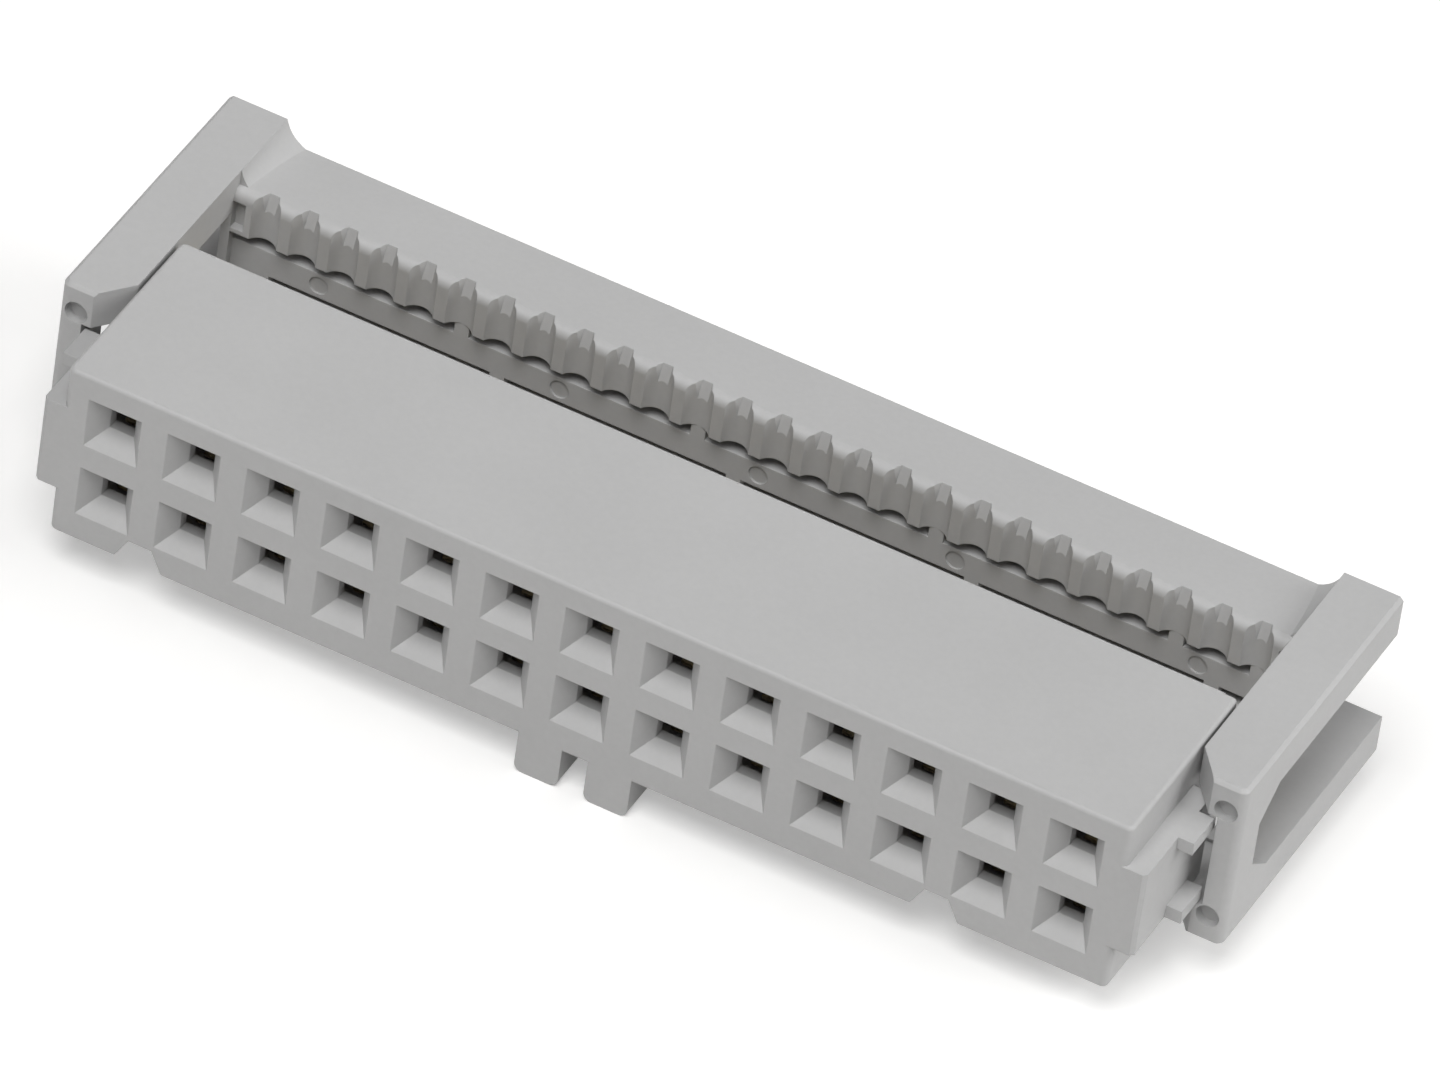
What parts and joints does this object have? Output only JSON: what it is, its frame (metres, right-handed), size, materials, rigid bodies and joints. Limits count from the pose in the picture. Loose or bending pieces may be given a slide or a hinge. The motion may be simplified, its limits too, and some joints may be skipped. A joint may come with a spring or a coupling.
{
  "type": "insulation displacement connector",
  "caption": "Light grey two-row ribbon-cable socket with polarising key, its grooved pressing cover standing open on two side arms.",
  "frame": {"origin": "middle of the mating face, between the two rows of openings", "axes": "+X along the rows of contacts, +Y from the mating face back to the cover, +Z from the key side up to the plain side"},
  "size_m": [0.0376, 0.0132, 0.0073],
  "materials": {
    "housing_plastic": "moulded, fine satin",
    "cover_plastic": "moulded, fine satin",
    "contact_metal": "stamped, plated"
  },
  "bodies": {
    "housing": {"housing": "housing_plastic", "contact_upper_01": "contact_metal", "contact_upper_02": "contact_metal", "contact_upper_03": "contact_metal", "contact_upper_04": "contact_metal", "contact_upper_05": "contact_metal", "contact_upper_06": "contact_metal", "contact_upper_07": "contact_metal", "contact_upper_08": "contact_metal", "contact_upper_09": "contact_metal", "contact_upper_10": "contact_metal", "contact_upper_11": "contact_metal", "contact_upper_12": "contact_metal", "contact_upper_13": "contact_metal", "contact_lower_01": "contact_metal", "contact_lower_02": "contact_metal", "contact_lower_03": "contact_metal", "contact_lower_04": "contact_metal", "contact_lower_05": "contact_metal", "contact_lower_06": "contact_metal", "contact_lower_07": "contact_metal", "contact_lower_08": "contact_metal", "contact_lower_09": "contact_metal", "contact_lower_10": "contact_metal", "contact_lower_11": "contact_metal", "contact_lower_12": "contact_metal", "contact_lower_13": "contact_metal"},
    "cover": {"cover": "cover_plastic"}
  },
  "joints": [
    {"name": "cover_press", "type": "slide", "parent": "housing", "child": "cover", "axis": [0, -1, 0], "range_m": [0, 0.0028]}
  ]
}
